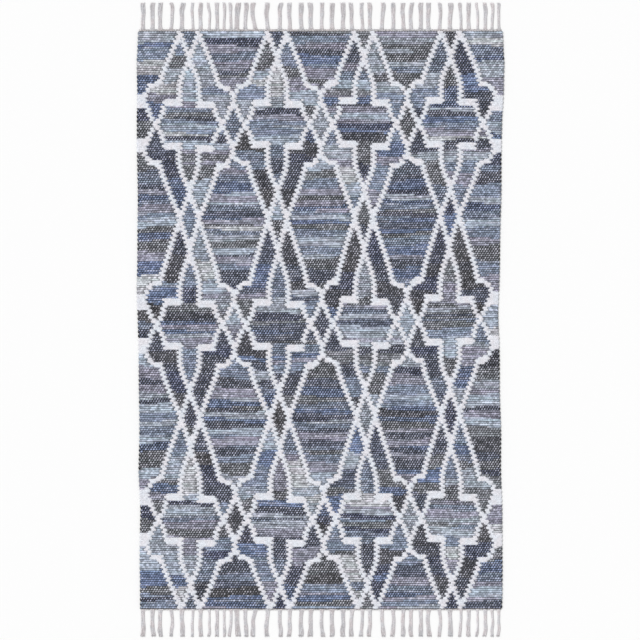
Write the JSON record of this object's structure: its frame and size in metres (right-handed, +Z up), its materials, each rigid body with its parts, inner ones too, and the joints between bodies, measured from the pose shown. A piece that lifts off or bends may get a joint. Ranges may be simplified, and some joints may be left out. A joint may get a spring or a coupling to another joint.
{
  "type": "flat-woven cotton rug with fringe",
  "caption": "Flat-woven rag rug of denim strips with a white cotton trellis, a narrow cotton heading and a loose fringe at each end.",
  "frame": {"origin": "on the floor under the middle of the rug's box, fringes included", "axes": "+Y along the rug towards its far fringe, +X to the right across it, +Z up from the floor"},
  "size_m": [1.54, 2.664, 0.008],
  "materials": {
    "denim_weave": "matt weft-faced weave of torn denim strips, from charcoal to pale blue",
    "white_yarn": "matt soft white cotton yarn of the trellis lines",
    "fringe_cotton": "matt loosely twisted undyed cotton warp ends"
  },
  "bodies": {
    "root": {"woven_body": "denim_weave", "fringe_far": "fringe_cotton", "fringe_near": "fringe_cotton"}
  },
  "joints": []
}
